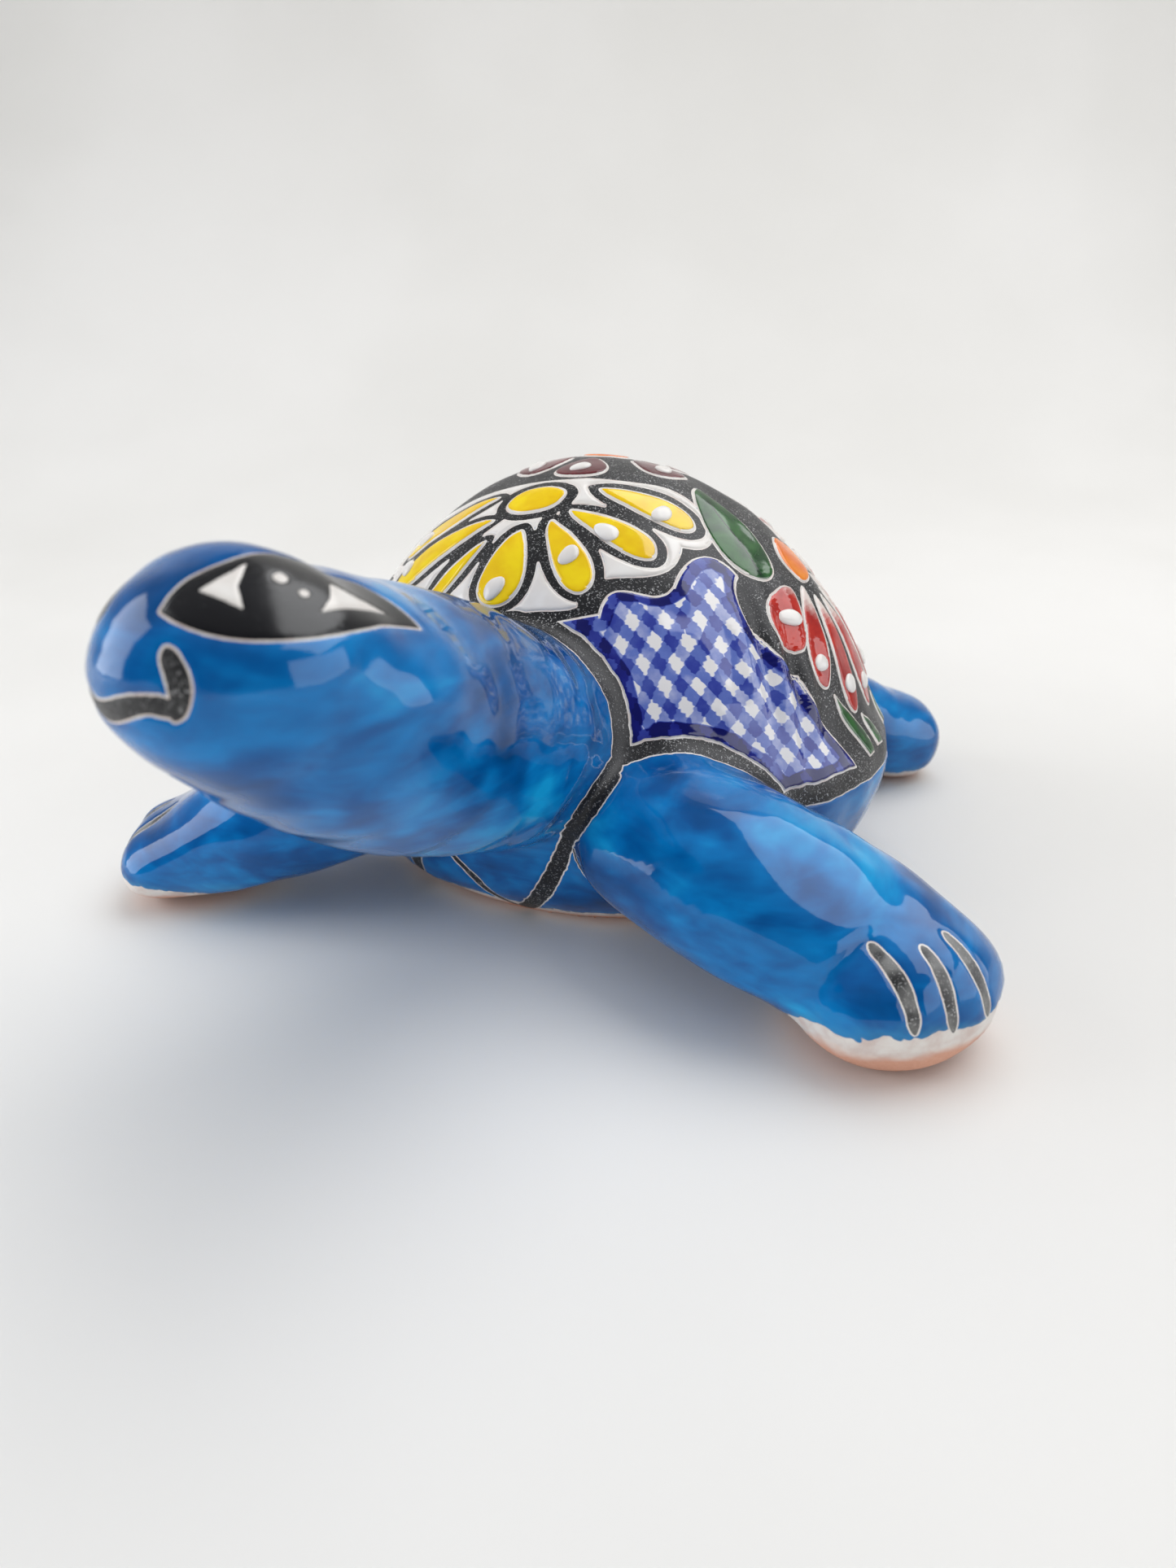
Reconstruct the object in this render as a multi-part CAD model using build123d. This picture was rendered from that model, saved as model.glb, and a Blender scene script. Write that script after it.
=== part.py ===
from build123d import *
import math
import os

# Glazed ceramic sea turtle: hollow clay pieces joined before firing, and on them the separate
# fired glaze fields, which stand proud of the matte black lines left between them.
# Millimetres, +Z up, head towards -Y, the turtle's left side is +X.
# The origin is on the table, under the centre of the shell.

SHELL_HALF_WIDTH = 74.5
SHELL_HALF_LENGTH = 62.0
SHELL_HEIGHT = 101.0
RIM_HEIGHT = 34.0
DOME_POWER = 1.78  # below 2, the dome is more conical than an ellipsoid
RIM_FLARE = 0.06  # share of the half width by which the lip stands out
FLARE_FADE = 0.13
BELLY_LEVELS = [(0.0, 0.77), (5.0, 0.86), (14.0, 0.94), (24.0, 0.985)]  # height, share of rim
WALL = 5.0
VENT_RADIUS = 4.0
VENT_Y = 28.0
SPAN = 400.0

# A limb follows a line of points. Its half width and half height are each given at the start and
# at the end, with a swell between them. The cap rounds off the end.
NECK_ROOT, SNOUT = (0, -40, 41), (0, -132, 86.5)
NECK_SAG = 18.0
HEAD_STEPS = 6
HEAD_CAP = 17.5
RIGHT_LINE = [(24, -38, 30), (44, -54, 29), (60, -61, 22), (75, -64, 15), (89, -67, 10)]
LEFT_LINE = [(24, -38, 30), (44, -54, 28.5), (60, -60, 25), (77, -60, 18), (90, -66, 13)]
REAR_LINE = [(32, 36, 25), (46, 52, 24), (57, 61, 18), (68, 70, 12)]
FRONT_LEFT_CAP, FRONT_RIGHT_CAP, REAR_CAP = 16.0, 12.0, 13.0


def stations_along(line, wide, high):
    """Centre, half width and half height at each point of a line."""
    stations = []
    for index, centre in enumerate(line):
        at = index / (len(line) - 1)
        sizes = [start + (end - start) * at ** 2 + swell * math.sin(math.pi * at)
                 for start, end, swell in (wide, high)]
        stations.append((centre, *sizes))
    return stations


def head_stations():
    """The neck rises in a sagging line and is fullest at the jaw, then narrows to the snout."""
    stations = []
    for step in range(HEAD_STEPS + 1):
        at = step / HEAD_STEPS
        y = NECK_ROOT[1] + (SNOUT[1] - NECK_ROOT[1]) * at
        z = NECK_ROOT[2] + (SNOUT[2] - NECK_ROOT[2]) * at - NECK_SAG * at ** 2 * (1 - at)
        stations.append(((0, y, z), 25 + 4 * at - 7 * at ** 6, 24 + 3.5 * at - 10 * at ** 3))
    return stations


HEAD = head_stations()
# The left paw is fuller. Right-hand pieces are laid out on the left and mirrored.
FRONT_LEFT_FLIPPER = stations_along(LEFT_LINE, (20, 21, 1.5), (17, 15, 1.5))
FRONT_RIGHT_FLIPPER = stations_along(RIGHT_LINE, (20.5, 20.5, 0), (17, 11, 0))
REAR_FLIPPER = stations_along(REAR_LINE, (16, 14.5, 0), (14, 13, 0))
TAIL = [
    ((0, 44.0, 19.0), 14.0, 12.0),
    ((0, 58.0, 15.0), 10.5, 9.5),
    ((0, 70.0, 10.0), 7.5, 7.5),
    ((0, 79.0, 6.5), 5.0, 5.2),
]
TAIL_CAP = 5.0
CAP_STEPS = (0.0, 0.38, 0.7, 0.9, 0.985)

GLAZE = 0.5  # how far a glaze field stands proud of the clay
DOT_RADIUS = 2.9  # of the ball that a white dot is the cap of
DOT_HEIGHT = 0.9
LINE = 3.2  # black line left between two fields on the shell
FIELD_FLOOR = RIM_HEIGHT + 2.5

# Directions from which the fields on the limbs are laid out: origin, across, outward.
EYE_PLANE = ((13.0, -133.0, 99.0), (0.493, 0.870, 0.012), (0.600, -0.350, 0.720))
SMILE_PLANE = ((-6.8, -147.5, 87.0), (0.990, -0.139, 0), (-0.135, -0.960, -0.240))
# The face looks a little to the turtle's right, so its two halves mirror about a turned plane.
FACE_CENTRE, FACE_TURN = (0, -100.0, 80.0), 8.0
LEFT_TOE_PLANE = ((96.0, -73.0, 22.0), (0.860, 0, -0.510), (0.460, -0.440, 0.775))
RIGHT_TOE_PLANE = ((92.0, -67.0, 20.0), (0.860, 0, -0.510), (0.490, -0.260, 0.830))


# ---------------------------------------------------------------- clay

def dome_outline(grow=0.0, steps=9):
    """Half width and height of the dome from the rim up to just under the apex."""
    levels = []
    for step in range(steps):
        angle = math.pi / 2 * step / steps
        rise = math.sin(angle) ** (2 / DOME_POWER)
        reach = (1 - RIM_FLARE) * math.cos(angle) ** (2 / DOME_POWER)
        reach += RIM_FLARE * math.exp(-math.sin(angle) / FLARE_FADE)
        half_width = reach * SHELL_HALF_WIDTH + grow * math.cos(angle)
        height = RIM_HEIGHT + (SHELL_HEIGHT - RIM_HEIGHT) * rise + grow * math.sin(angle)
        levels.append((height, half_width))
    return levels


def body(grow=0.0):
    """Closed hull of shell and belly, lofted through level ovals up to the apex."""
    low = [(z, share * SHELL_HALF_WIDTH + grow) for z, share in BELLY_LEVELS]
    stretch = SHELL_HALF_LENGTH / SHELL_HALF_WIDTH
    ovals = [Pos(0, 0, z) * Ellipse(r, r * stretch) for z, r in low + dome_outline(grow)]
    return loft(ovals + [Vertex(0, 0, SHELL_HEIGHT + grow)])


def slab(low, high):
    return Pos(0, 0, (low + high) / 2) * Box(SPAN, SPAN, high - low)


def limb_sections(stations, cap, grow):
    """Centre, direction, half width and half height at even steps along a limb."""
    centres = [Vector(*centre) for centre, _, _ in stations]
    path = Spline(centres)
    marks = [path.param_at_point(centre) for centre in centres]
    sections = []
    for index in range(len(stations) - 1):
        for part in (0.0, 0.5):
            mark = marks[index] * (1 - part) + marks[index + 1] * part
            wide = stations[index][1] * (1 - part) + stations[index + 1][1] * part
            high = stations[index][2] * (1 - part) + stations[index + 1][2] * part
            sections.append((path @ mark, path % mark, wide + grow, high + grow))
    _, wide, high = stations[-1]
    along = path % 1
    for step in CAP_STEPS:
        size = math.sqrt(1 - step * step)
        middle = centres[-1] + along * (cap + grow) * step
        sections.append((middle, along, (wide + grow) * size, (high + grow) * size))
    return sections, centres[-1] + along * (cap + grow)


def limb(stations, cap, grow=0.0):
    """Round-ended loft through ellipses, each square to the limb's centre line."""
    sections, tip = limb_sections(stations, cap, grow)
    faces = []
    for middle, along, wide, high in sections:
        across = along.cross(Vector(0, 0, 1))
        faces.append(Plane(middle, x_dir=across, z_dir=along) * Ellipse(wide, high))
    return loft(faces + [Vertex(*tip)])


def other_side(shape):
    return mirror(shape, Plane.YZ)


# ---------------------------------------------------------------- glaze fields on the shell
# Outlines are drawn on the dome rolled out flat: u to the turtle's left and v towards the
# head, both in millimetres of arc from the apex. Each is mapped down onto the plan.

def arc_table():
    """Rows of arc length from the apex, share of the rim's radius, and height."""
    mean = (SHELL_HALF_WIDTH + SHELL_HALF_LENGTH) / 2
    table = [(0.0, 0.0, SHELL_HEIGHT)]
    for height, half_width in reversed(dome_outline(steps=90)):
        arc, share, above = table[-1]
        new_share = half_width / SHELL_HALF_WIDTH
        arc += math.hypot((new_share - share) * mean, height - above)
        table.append((arc, new_share, height))
    return table


ARC_TABLE = arc_table()


def dome_point(u, v):
    """Point on the clay dome for a point of the rolled-out dome; it grows on past the rim."""
    arc = math.hypot(u, v)
    share, height = 1.0 + (arc - ARC_TABLE[-1][0]) / SHELL_HALF_WIDTH, RIM_HEIGHT
    for low, high in zip(ARC_TABLE, ARC_TABLE[1:]):
        if arc <= high[0]:
            part = (arc - low[0]) / (high[0] - low[0])
            share = low[1] + (high[1] - low[1]) * part
            height = low[2] + (high[2] - low[2]) * part
            break
    scale_up = share / max(arc, 1e-6)
    return Vector(scale_up * u * SHELL_HALF_WIDTH, -scale_up * v * SHELL_HALF_LENGTH, height)


def plan(u, v):
    point = dome_point(u, v)
    return point.X, point.Y


def placed(turn=0.0, flip=1, squeeze=1.0):
    """A move on the rolled-out dome: mirror, shrink, then turn about the apex in degrees."""
    cosine, sine = math.cos(math.radians(turn)), math.sin(math.radians(turn))

    def move(u, v):
        u, v = u * flip * squeeze, v * squeeze
        return cosine * u - sine * v, sine * u + cosine * v

    return move


def outline(runs, move):
    """Face bounded by smooth runs of points that meet at corners."""
    edges = []
    for run in runs:
        points = [plan(*move(u, v)) for u, v in run]
        edges.append(Spline(points) if len(points) > 2 else Line(*points))
    return make_face(edges)


def blob(points, move):
    return make_face(Spline([plan(*move(u, v)) for u, v in points], periodic=True))


def petal(root, tip, width, move, spare=0.0):
    """Teardrop with its narrow end at root; spare widens it all round."""
    length = math.dist(root, tip)
    along = ((tip[0] - root[0]) / length, (tip[1] - root[1]) / length)
    points = []
    for step in range(12):
        angle = 2 * math.pi * step / 12
        forward = (1 - math.cos(angle)) / 2
        side = (width / 2) * math.sin(angle) * (0.45 + 0.75 * forward)
        side += spare * math.sin(angle)
        forward = forward * length - spare * math.cos(angle)
        u = root[0] + along[0] * forward - along[1] * side
        v = root[1] + along[1] * forward + along[0] * side
        points.append((u, v))
    return blob(points, move)


def oval(centre, long_half, short_half, turn, move):
    points = []
    for step in range(8):
        angle = 2 * math.pi * step / 8
        a, b = long_half * math.cos(angle), short_half * math.sin(angle)
        cosine, sine = math.cos(math.radians(turn)), math.sin(math.radians(turn))
        points.append((centre[0] + a * cosine - b * sine, centre[1] + a * sine + b * cosine))
    return blob(points, move)


def drops(spots, top):
    """Round caps of thick white glaze that sit on the coloured fields."""
    pieces = []
    for u, v in spots:
        here = dome_point(u, v)
        outward = (dome_point(u, v + 1) - here).cross(dome_point(u + 1, v) - here).normalized()
        outward = outward if outward.Z > 0 else -outward
        centre = here + outward * (GLAZE + DOT_HEIGHT - DOT_RADIUS)
        pieces += (Pos(*centre) * Sphere(DOT_RADIUS) - top).solids()
    return Compound(pieces)


def raised(faces, layer, floor=FIELD_FLOOR):
    """The parts of a thin layer over the dome that stand above the given plan faces."""
    pieces = []
    for face in faces:
        column = extrude(Pos(0, 0, floor) * face, SHELL_HEIGHT + 10 - floor)
        pieces += (layer & column).solids()
    return Compound(pieces)


# Yellow fan flower: root, tip, width of each petal, and where its white dot sits.
FAN_PETALS = [
    ((8, 21), (30.5, 20), 9.5, (23, 22)),
    ((4, 30), (26, 35), 8.5, (14, 34)),
    ((0.5, 34), (14, 50.5), 9.5, (8, 43)),
    ((-6, 37), (-8, 57), 13.0, (-8, 53)),
    ((-15, 39), (-31, 54), 5.5, None),
    ((-15, 32), (-46, 40), 9.5, (-41, 36)),
    ((-17, 22), (-46, 26), 9.0, (-39, 25)),
]
FAN_GROUND = [
    [(4, 17), (15, 13.5), (28, 12), (34.5, 19), (30, 28)],
    [(30, 28), (29.5, 37), (24, 42), (17, 46)],
    [(17, 46), (15.5, 52), (7, 56.5), (-1, 59)],
    [(-1, 59), (-10, 62), (-18, 60)],
    [(-18, 60), (-29, 59.5), (-38, 52)],
    [(-38, 52), (-48, 47), (-52, 38), (-49, 31)],
    [(-49, 31), (-52, 25), (-48, 17), (-32, 14), (-14, 17), (4, 17)],
]
FAN_HEART = ((-6, 26), 7.0, 4.6, -8)

# Apex flower: angles of its petals about the apex.
CROWN_CENTRE = (0, -6)
CROWN_ANGLES = (22, 90, 140, 200, 262, 320)
CROWN_ROOT, CROWN_TIP, CROWN_WIDTH, CROWN_HEART = 8.5, 22.0, 13.5, 5.5

# Flank flower: angle, root and tip distance from its heart, width, and place of its dot.
FLANK_CENTRE = (51, -3)
FLANK_PETALS = [
    (72, 15.5, 34, 14.0, 0.55),
    (48, 10, 37, 9.8, 0.78),
    (22, 11, 39, 11.0, 0.78),
    (-5, 11, 39, 11.0, 0.8),
    (-31, 11, 38, 11.0, 0.78),
    (-57, 10, 35, 10.5, 0.75),
    (-88, 10, 32, 11.0, 0.7),
    (-122, 10, 28, 10.0, 0.7),
]
FLANK_HEART = (7.5, 5.5, 65)

LEAVES = [
    ((25, 4), (49, 19), 18.0),
    ((73, 29), (98, 22), 6.6),
    ((81, 21.5), (101, 12), 7.0),
    ((91, 7.5), (102, 0.5), 6.0),
]
REAR_LEAVES = [((70, -34), (92, -30), 7.0), ((89, -15), (99, -24), 6.0)]

LEFT_PANEL = [
    [(-1, 63.5), (8, 60.5), (19.5, 55)],
    [(19.5, 55), (20, 50), (29, 45.5), (33, 40)],
    [(33, 40), (33.5, 32), (37, 26), (44, 25)],
    [(44, 25), (46, 30), (51, 34), (60, 35.5), (66, 33)],
    [(66, 33), (80, 33), (99, 27.5), (112, 30)],
    [(112, 30), (104, 54), (92, 68)],
    [(92, 68), (78, 61), (64, 65), (50, 69), (41, 76), (36, 86)],
    [(36, 86), (31, 83), (22, 73), (12, 67), (-1, 63.5)],
]
RIGHT_PANEL = [
    [(-16, 66), (-27, 64.5), (-40, 56)],
    [(-40, 56), (-51, 50), (-57, 38)],
    [(-57, 38), (-56, 28), (-57, 25), (-64, 23), (-72, 22)],
    [(-72, 22), (-84, 18), (-100, 8), (-114, 4)],
    [(-114, 4), (-108, 40), (-92, 68)],
    [(-92, 68), (-78, 61), (-64, 65), (-50, 69), (-41, 76), (-36, 86)],
    [(-36, 86), (-31, 83), (-25, 75), (-16, 66)],
]
REAR_PANEL = [
    [(14, -62), (27, -58), (36, -50), (44, -41)],
    [(44, -41), (56, -42), (68, -44)],
    [(68, -44), (84, -41), (98, -36), (112, -36)],
    [(112, -36), (104, -54), (92, -68)],
    [(92, -68), (78, -62), (64, -66), (50, -74), (38, -84)],
    [(38, -84), (26, -92), (14, -96)],
    [(14, -96), (12, -80), (14, -62)],
]


def fan_flower(move):
    petals = [petal(root, tip, width, move) for root, tip, width, _ in FAN_PETALS]
    centre, long_half, short_half, turn = FAN_HEART
    heart = oval(centre, long_half, short_half, turn, move)
    ground = outline(FAN_GROUND, move)
    for root, tip, width, _ in FAN_PETALS:
        ground -= petal(root, tip, width, move, spare=LINE)
    ground -= oval(centre, long_half + LINE, short_half + LINE, turn, move)
    dots = [move(*dot) for _, _, _, dot in FAN_PETALS if dot]
    return petals, heart, ground.faces(), dots


def ray(centre, angle, reach):
    return (
        centre[0] + reach * math.cos(math.radians(angle)),
        centre[1] + reach * math.sin(math.radians(angle)),
    )


def crown_flower(move):
    petals, dots = [], []
    for angle in CROWN_ANGLES:
        root = ray(CROWN_CENTRE, angle, CROWN_ROOT)
        tip = ray(CROWN_CENTRE, angle, CROWN_TIP)
        petals.append(petal(root, tip, CROWN_WIDTH, move))
        dots.append(move(*ray(CROWN_CENTRE, angle, (CROWN_ROOT + 2 * CROWN_TIP) / 3)))
    heart = oval(CROWN_CENTRE, CROWN_HEART, CROWN_HEART, 0, move)
    return petals, heart, dots


def flank_flower(move):
    petals, dots = [], []
    for angle, start, end, width, share in FLANK_PETALS:
        root, tip = ray(FLANK_CENTRE, angle, start), ray(FLANK_CENTRE, angle, end)
        petals.append(petal(root, tip, width, move))
        dots.append(move(*ray(FLANK_CENTRE, angle, start + (end - start) * share)))
    heart = oval(FLANK_CENTRE, *FLANK_HEART, move)
    return petals, heart, dots


def leaf_faces(leaves, move):
    return [petal(root, tip, width, move) for root, tip, width in leaves]


# ---------------------------------------------------------------- glaze fields on the limbs

def plane_of(layout):
    origin, across, outward = layout
    return Plane(origin, x_dir=across, z_dir=outward)


def on_limb(face, plane, layer, depth, lift=30.0):
    """The part of a thin layer over a limb that lies under a face drawn on a plane."""
    column = extrude(plane * (Pos(0, 0, -depth) * face), depth + lift, dir=plane.z_dir)
    return Compound((layer & column).solids())


def stroke(points, width):
    """Brush stroke along a few points, fuller in the middle and round at both ends."""
    path = Line(*points) if len(points) == 2 else Spline(points)
    left, right = [], []
    for step in range(7):
        at = step / 6
        half = width / 2 * (0.35 + 0.65 * math.sin(math.pi * (0.12 + 0.76 * at)))
        point, along = path @ at, path % at
        left.append((point.X - along.Y * half, point.Y + along.X * half))
        right.append((point.X + along.Y * half, point.Y - along.X * half))
    start, end = path @ 0, path @ 1
    before = (start.X - (path % 0).X * width / 3, start.Y - (path % 0).Y * width / 3)
    after = (end.X + (path % 1).X * width / 3, end.Y + (path % 1).Y * width / 3)
    return make_face(Spline(left + [after] + right[::-1] + [before], periodic=True))


EYE_PATCH = [
    [(-16.4, 3), (-13, 5.4), (-4.5, 7.4), (3, 7.6), (11, 5.6), (19.5, -4.2)],
    [(19.5, -4.2), (10, -5.6), (0.5, -8), (-7, -6.8), (-13, -3.0), (-16.4, 3)],
]
EYE_FRONT_WHITE = [(-11.8, 3.2), (-4.6, 5.8), (-7.4, 2.0), (-8.2, -1.8)]
EYE_REAR_WHITE = [(5.1, 0.6), (13.6, -2.4), (1.4, -4.6), (3.8, -2.2)]
EYE_GLINTS = [((-1.6, 2.0), 1.0), ((0.4, -1.2), 0.7)]

SMILE = [(-11.6, -0.6), (-7, -2.0), (-3, -2.3), (1.4, -1.1), (5.4, 0.1), (8.3, 0.3), (11.2, -0.6)]
SMILE_TICK = [(11.3, -0.9), (12.1, 1.2), (12.0, 3.1), (11.3, 4.7), (10.2, 6.1)]
SMILE_WIDTH = 2.9
# Ends of the toe strokes of the front flippers, in space.
LEFT_TOES = [
    ((85.2, -74.8, 25.8), (96.2, -82.9, 17.1)),
    ((94.2, -72.6, 26.2), (102.3, -78.0, 15.5)),
    ((97.7, -67.0, 26.9), (106.3, -70.0, 14.2)),
]
RIGHT_TOES = [
    ((85, -71, 24), (95.5, -79.5, 15)),
    ((91, -66, 21), (99, -72, 11)),
    ((94, -59, 19), (101, -62, 9)),
]
TOE_WIDTH = 2.4
TOE_DEPTH = 10.0  # short of the sole


def flat_outline(runs):
    return make_face([Spline(run) for run in runs])


def flat_polygon(points):
    return make_face(Polyline(points, close=True))


# ---------------------------------------------------------------- the pieces

def save(node, shape):
    export_step(shape, f"parts/{node}.step")


def clay_pieces(hull):
    inner = body(-WALL)
    above, below = slab(RIM_HEIGHT, SPAN), slab(-SPAN / 2, RIM_HEIGHT)
    table = slab(-SPAN / 2, 0)
    cavity = inner & slab(WALL, SPAN)
    vent = Pos(0, VENT_Y, 0) * Cylinder(VENT_RADIUS, 4 * WALL)
    save("carapace", (hull & above) - cavity)
    save("plastron", (hull & below) - cavity - vent)

    head = limb(HEAD, HEAD_CAP)
    save("head_and_neck", head - hull - limb(HEAD, HEAD_CAP, -WALL))
    for node, stations, cap in (
        ("front_left_flipper", FRONT_LEFT_FLIPPER, FRONT_LEFT_CAP),
        ("front_right_flipper", FRONT_RIGHT_FLIPPER, FRONT_RIGHT_CAP),
        ("rear_left_flipper", REAR_FLIPPER, REAR_CAP),
        ("rear_right_flipper", REAR_FLIPPER, REAR_CAP),
    ):
        flipper = limb(stations, cap) - hull - head - limb(stations, cap, -WALL) - table
        save(node, other_side(flipper) if "right" in node else flipper)
    save("tail", limb(TAIL, TAIL_CAP) - hull - table)


def shell_fields(hull):
    glaze = body(GLAZE) - hull
    front, rear = placed(), placed(turn=176, squeeze=0.84)
    left, right = placed(), placed(turn=14, flip=-1)

    dots = []
    for name, move in (("front", front), ("rear", rear)):
        petals, heart, ground, spots = fan_flower(move)
        save(f"{name}_flower_petals", raised(petals, glaze))
        save(f"{name}_flower_heart", raised([heart], glaze))
        save(f"{name}_flower_ground", raised(ground, glaze))
        dots += spots
    petals, heart, spots = crown_flower(placed())
    save("crown_flower_petals", raised(petals, glaze))
    save("crown_flower_heart", raised([heart], glaze))
    dots += spots
    for name, move in (("left", left), ("right", right)):
        petals, heart, spots = flank_flower(move)
        save(f"{name}_flower_petals", raised(petals, glaze))
        save(f"{name}_flower_heart", raised([heart], glaze))
        dots += spots
    save("petal_dots", drops(dots, body(GLAZE)))
    leaves = leaf_faces(LEAVES + REAR_LEAVES, left) + leaf_faces(LEAVES[1:] + REAR_LEAVES, right)
    save("green_leaves", raised(leaves, glaze))
    save("front_left_lattice", raised([outline(LEFT_PANEL, left)], glaze))
    save("front_right_lattice", raised([outline(RIGHT_PANEL, placed())], glaze))
    save("rear_left_lattice", raised([outline(REAR_PANEL, placed())], glaze))
    save("rear_right_lattice", raised([outline(REAR_PANEL, placed(flip=-1))], glaze))


def turned_eye_plane():
    """Plane for the right eye, whose outline is drawn upside down on it."""
    turn = math.radians(FACE_TURN)
    across = Vector(math.cos(turn), -math.sin(turn), 0)
    origin, x_axis, outward = (Vector(*part) for part in EYE_PLANE)
    origin -= across * (2 * (origin - Vector(*FACE_CENTRE)).dot(across))
    x_axis -= across * (2 * x_axis.dot(across))
    outward -= across * (2 * outward.dot(across))
    return Plane(origin, x_dir=x_axis, z_dir=outward)


def eye_fields():
    head = limb(HEAD, HEAD_CAP)
    glaze = limb(HEAD, HEAD_CAP, GLAZE) - head
    holes = [flat_polygon(EYE_FRONT_WHITE), flat_polygon(EYE_REAR_WHITE)]
    holes += [Pos(*centre) * Circle(radius) for centre, radius in EYE_GLINTS]
    patch = flat_outline(EYE_PATCH)
    for hole in holes:
        patch -= hole
    for side, plane in (("left", plane_of(EYE_PLANE)), ("right", turned_eye_plane())):
        if side == "right":
            patch, holes = mirror(patch, Plane.XZ), [mirror(hole, Plane.XZ) for hole in holes]
        save(f"{side}_eye_patch", on_limb(patch, plane, glaze, 16))
        whites = [s for hole in holes for s in on_limb(hole, plane, glaze, 16).solids()]
        save(f"{side}_eye_white", Compound(whites))


def smile():
    head = limb(HEAD, HEAD_CAP)
    skin = limb(HEAD, HEAD_CAP, GLAZE) - head
    tick = stroke(SMILE_TICK, SMILE_WIDTH)
    shape = stroke(SMILE, SMILE_WIDTH) + tick + mirror(tick, Plane.YZ)
    save("smile_line", on_limb(shape, plane_of(SMILE_PLANE), skin, 12))


def toe_strokes(strokes, layout, stations, cap):
    paw = limb(stations, cap)
    skin = limb(stations, cap, GLAZE) - paw
    plane = plane_of(layout)
    toes = []
    for ends in strokes:
        start, end = (plane.to_local_coords(Vector(*point)) for point in ends)
        line = stroke([(start.X, start.Y), (end.X, end.Y)], TOE_WIDTH)
        toes += on_limb(line, plane, skin, TOE_DEPTH).solids()
    return Compound(toes)


def toes():
    left = toe_strokes(LEFT_TOES, LEFT_TOE_PLANE, FRONT_LEFT_FLIPPER, FRONT_LEFT_CAP)
    right = toe_strokes(RIGHT_TOES, RIGHT_TOE_PLANE, FRONT_RIGHT_FLIPPER, FRONT_RIGHT_CAP)
    save("toe_lines", Compound([*left.solids(), *other_side(right).solids()]))


if __name__ == "__main__":
    os.makedirs("parts", exist_ok=True)
    hull = body()
    clay_pieces(hull)
    shell_fields(hull)
    eye_fields()
    smile()
    toes()
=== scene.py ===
import functools
import math
import bpy
import numpy as np
from mathutils import Matrix, Vector
from mathutils.bvhtree import BVHTree
from mathutils.kdtree import KDTree


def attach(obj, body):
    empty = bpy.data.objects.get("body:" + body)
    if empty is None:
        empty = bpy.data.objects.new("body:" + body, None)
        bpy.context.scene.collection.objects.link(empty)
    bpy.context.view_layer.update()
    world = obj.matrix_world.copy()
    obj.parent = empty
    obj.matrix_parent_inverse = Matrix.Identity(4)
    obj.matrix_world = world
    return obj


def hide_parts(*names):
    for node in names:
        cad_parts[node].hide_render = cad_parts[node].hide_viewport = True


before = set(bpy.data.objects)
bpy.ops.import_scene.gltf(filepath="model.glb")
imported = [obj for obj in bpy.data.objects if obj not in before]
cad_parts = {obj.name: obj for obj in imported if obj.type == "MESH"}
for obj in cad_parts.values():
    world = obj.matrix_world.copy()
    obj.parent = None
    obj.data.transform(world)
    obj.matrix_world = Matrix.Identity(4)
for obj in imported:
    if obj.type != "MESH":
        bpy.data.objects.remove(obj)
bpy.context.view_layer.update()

# Looks of the glazed ceramic turtle. Meshes are worked out in millimetres and written in metres.
MM = 0.001

CLAY = ["carapace", "plastron", "head_and_neck", "front_left_flipper", "front_right_flipper",
        "rear_left_flipper", "rear_right_flipper", "tail"]
VOXEL = 0.95  # edge of the even triangles that the skin starts from
FRINGE = 0.36  # bare white base left around every field
FILLET_REACH, FILLET_ROUNDS = 10.0, 70  # how far and how strongly the joints are smoothed
GLAZE = 0.42  # full thickness of a glaze field
PILLOW = 0.26  # how fast a field reaches it, from its border inwards
CLAY_WALL = 2.0  # how far the visible clay pieces reach in under the skin
VENT_Y, VENT_RADIUS = 28.0, 4.0
REACH = 5.0  # distances to outlines are worked out this far from them
PAD_MARGIN, PAD_SEARCH = 2.5, 4.0  # how far from the skin a CAD pad is looked for

# Dome as in the CAD, for the rolled-out coordinates that the brushwork follows.
SHELL_HALF_WIDTH, SHELL_HALF_LENGTH, SHELL_HEIGHT, RIM_HEIGHT = 74.5, 62.0, 101.0, 34.0
DOME_POWER, RIM_FLARE, FLARE_FADE = 1.78, 0.06, 0.13


# ---------------------------------------------------------------- mesh helpers

@functools.lru_cache(None)
def cad_mesh(node):
    """Welded vertices in millimetres and triangles of a CAD node."""
    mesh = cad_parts[node].data
    mesh.calc_loop_triangles()
    points = np.empty(len(mesh.vertices) * 3)
    mesh.vertices.foreach_get("co", points)
    tris = np.empty(len(mesh.loop_triangles) * 3, int)
    mesh.loop_triangles.foreach_get("vertices", tris)
    points = points.reshape(-1, 3) / MM
    _, first, back = np.unique(np.round(points, 3), axis=0, return_index=True, return_inverse=True)
    tris = back.reshape(-1)[tris].reshape(-1, 3)
    whole = (tris[:, 0] != tris[:, 1]) & (tris[:, 1] != tris[:, 2]) & (tris[:, 2] != tris[:, 0])
    return points[first], tris[whole]


def tri_normals(points, tris):
    a, b, c = points[tris[:, 0]], points[tris[:, 1]], points[tris[:, 2]]
    return np.cross(b - a, c - a)


def unit(vectors):
    return vectors / np.maximum(np.linalg.norm(vectors, axis=1, keepdims=True), 1e-12)


def point_normals(points, tris):
    """Area-weighted normal at every point."""
    faces = tri_normals(points, tris)
    total = np.zeros_like(points)
    for corner in range(3):
        for axis in range(3):
            total[:, axis] += np.bincount(tris[:, corner], faces[:, axis], len(points))
    return unit(total)


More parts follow.
